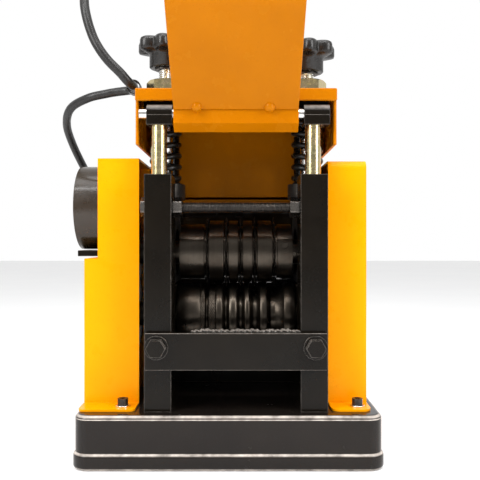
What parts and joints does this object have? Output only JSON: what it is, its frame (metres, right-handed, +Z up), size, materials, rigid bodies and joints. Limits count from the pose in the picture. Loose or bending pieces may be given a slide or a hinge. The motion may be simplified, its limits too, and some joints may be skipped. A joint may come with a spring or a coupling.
{
  "type": "wire feeder",
  "caption": "Bench-top powered wire feeder and stripper: geared motor, grooved feed roller, spring-loaded slitting roller between thick side plates, hinged infeed guard.",
  "frame": {"origin": "on the bench surface, straight below the middle of the two roller axes", "axes": "+X to the right along the roller axes, +Y from the infeed side to the outfeed side, +Z up"},
  "size_m": [0.3506, 0.4377, 0.5192],
  "materials": {
    "base_paint": "gloss",
    "frame_paint": "satin",
    "black_oxide": "satin black oxide",
    "dull_steel": "satin",
    "yellow_zinc": "yellow passivated zinc",
    "bright_zinc": "bright zinc",
    "cover_paint": "gloss",
    "guard_paint": "gloss",
    "bearing_steel": "ground",
    "motor_paint": "semi-gloss",
    "black_plastic": "fine grain",
    "knob_plastic": "moulded",
    "lead_rubber": "matt",
    "green_plastic": "moulded",
    "red_plastic": "moulded",
    "gear_steel": "greased, hobbed",
    "spring_steel": "satin",
    "roller_steel": "dark oiled",
    "blade_steel": "ground"
  },
  "bodies": {
    "machine": {"base_pan": "base_paint", "base_tray": "base_paint", "side_plate_left": "frame_paint", "side_plate_right": "frame_paint", "front_crossbar": "frame_paint", "rear_crossbar": "frame_paint", "crossbar_bolts": "frame_paint", "weld_bead": "frame_paint", "tie_rod": "black_oxide", "tie_rod_nuts": "dull_steel", "bridge_columns": "frame_paint", "top_bridge": "frame_paint", "column_nuts": "yellow_zinc", "hood_shell": "guard_paint", "hood_screws": "black_oxide", "screw_bushes": "yellow_zinc", "hinge_posts": "yellow_zinc", "hinge_barrels": "frame_paint", "hinge_pin": "bright_zinc", "left_cover": "cover_paint", "right_cover": "cover_paint", "cover_screws": "black_oxide", "cover_washers": "bright_zinc", "lower_bearings": "bearing_steel", "motor_plate": "frame_paint", "motor_shelf": "frame_paint", "gearhead": "motor_paint", "motor_body": "motor_paint", "fan_cover": "motor_paint", "terminal_box": "black_plastic", "cable_glands": "black_plastic", "supply_lead": "lead_rubber", "cable_clip": "black_oxide", "switch_plate": "black_plastic", "idler_pin": "gear_steel", "spring_left": "spring_steel", "spring_right": "spring_steel"},
    "guard": {"guard_plate": "guard_paint", "guard_channel": "guard_paint"},
    "lower_roller": {"lower_shaft": "roller_steel", "feed_roller": "roller_steel", "lower_gear": "gear_steel", "drive_gear": "gear_steel"},
    "carriage": {"bearing_block_left": "black_oxide", "bearing_block_right": "black_oxide", "upper_bearings": "bearing_steel", "adjusting_studs": "bright_zinc", "spring_seats": "black_oxide"},
    "upper_roller": {"upper_shaft": "roller_steel", "cutting_blades": "blade_steel", "blade_spacers": "roller_steel", "upper_gear": "gear_steel"},
    "idler": {"idler_gear": "gear_steel"},
    "motor_rotor": {"motor_pinion": "gear_steel"},
    "left_knob_washer": {"washer_left": "black_oxide"},
    "left_knob": {"knob_left": "knob_plastic"},
    "right_knob_washer": {"washer_right": "black_oxide"},
    "right_knob": {"knob_right": "knob_plastic"},
    "start_key": {"start_button": "green_plastic"},
    "stop_key": {"stop_button": "red_plastic"}
  },
  "joints": [
    {"name": "guard_hinge", "type": "hinge", "parent": "machine", "child": "guard", "pos_m": [0, -0.056, 0.3275], "axis": [1, 0, 0], "range_deg": [-38, 124.5]},
    {"name": "lower_roller_spin", "type": "hinge", "parent": "machine", "child": "lower_roller", "pos_m": [0, 0, 0.134], "axis": [1, 0, 0], "continuous": true},
    {"name": "carriage_lift", "type": "slide", "parent": "machine", "child": "carriage", "axis": [0, 0, 1], "range_m": [0, 0.005], "stiffness_N_per_m": 20000, "springref_m": -0.002, "deforming": ["spring_left", "spring_right"]},
    {"name": "upper_roller_spin", "type": "hinge", "parent": "carriage", "child": "upper_roller", "pos_m": [0, 0, 0.197], "axis": [1, 0, 0], "continuous": true},
    {"name": "idler_spin", "type": "hinge", "parent": "machine", "child": "idler", "pos_m": [0.105, 0.0729, 0.18428], "axis": [1, 0, 0], "continuous": true},
    {"name": "motor_spin", "type": "hinge", "parent": "machine", "child": "motor_rotor", "pos_m": [0.1, 0.13, 0.248], "axis": [1, 0, 0], "continuous": true},
    {"name": "left_knob_travel", "type": "slide", "parent": "carriage", "child": "left_knob_washer", "axis": [0, 0, 1], "range_m": [-0.01001, 0.00401]},
    {"name": "left_knob_turn", "type": "hinge", "parent": "left_knob_washer", "child": "left_knob", "pos_m": [-0.0725, 0, 0.3846], "axis": [0, 0, 1], "range_deg": [-1800, 720]},
    {"name": "right_knob_travel", "type": "slide", "parent": "carriage", "child": "right_knob_washer", "axis": [0, 0, 1], "range_m": [-0.00601, 0.00401]},
    {"name": "right_knob_turn", "type": "hinge", "parent": "right_knob_washer", "child": "right_knob", "pos_m": [0.0725, 0, 0.38], "axis": [0, 0, 1], "range_deg": [-1080, 720]},
    {"name": "start_press", "type": "slide", "parent": "machine", "child": "start_key", "axis": [-1, 0, 0], "range_m": [0, 0.003], "stiffness_N_per_m": 800, "springref_m": -0.002},
    {"name": "stop_press", "type": "slide", "parent": "machine", "child": "stop_key", "axis": [-1, 0, 0], "range_m": [0, 0.004], "stiffness_N_per_m": 800, "springref_m": -0.002}
  ],
  "couplings": [
    {"joint": "upper_roller_spin", "follows": "lower_roller_spin", "ratio": -1},
    {"joint": "idler_spin", "follows": "lower_roller_spin", "ratio": -0.55263},
    {"joint": "motor_spin", "follows": "lower_roller_spin", "ratio": 1.1053},
    {"joint": "left_knob_travel", "follows": "left_knob_turn", "m_per_rad": 0.00031831},
    {"joint": "right_knob_travel", "follows": "right_knob_turn", "m_per_rad": 0.00031831}
  ]
}
